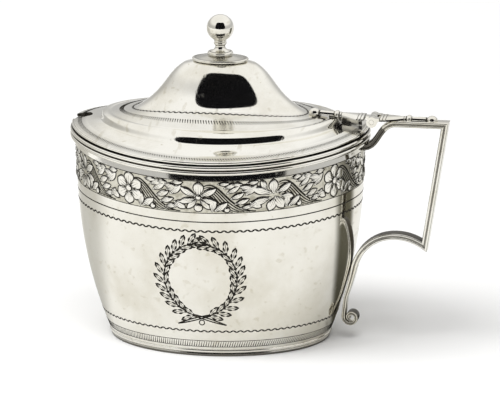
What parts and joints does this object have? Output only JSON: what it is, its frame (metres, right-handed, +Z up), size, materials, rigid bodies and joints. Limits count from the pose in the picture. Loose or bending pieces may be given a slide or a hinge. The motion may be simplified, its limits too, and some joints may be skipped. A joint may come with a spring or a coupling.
{
  "type": "mustard pot",
  "caption": "Oval lidded table pot in silver with a hinged domed lid, ball finial, spoon notch, angular strap handle and a lift-out glass liner.",
  "frame": {"origin": "centre of the foot on the table", "axes": "+X towards the handle, +Z up, -Y towards the side with the wreath"},
  "size_m": [0.1127, 0.0756, 0.0965],
  "materials": {
    "silver": "polished silver with light hand-worn scratches",
    "blue_glass": "clear cobalt glass"
  },
  "bodies": {
    "pot": {"body_shell": "silver", "base_plate": "silver", "foot_rim": "silver", "rim_moulding": "silver", "glass_liner": "blue_glass", "handle_top_limb": "silver", "handle_back_limb": "silver", "handle_lower_arch": "silver", "handle_leaf": "silver", "handle_knuckles": "silver", "hinge_pin": "silver"},
    "lid": {"lid_shell": "silver", "lid_bezel": "silver", "lid_bracket": "silver", "lid_leaf": "silver", "lid_knuckle": "silver", "dome_saucer": "silver", "finial_stem": "silver", "finial_ball": "silver", "finial_nut": "silver"}
  },
  "joints": [
    {"name": "lid_hinge", "type": "hinge", "parent": "pot", "child": "lid", "pos_m": [0.0456, 0, 0.0666], "axis": [0, 1, 0], "range_deg": [0, 100]}
  ]
}
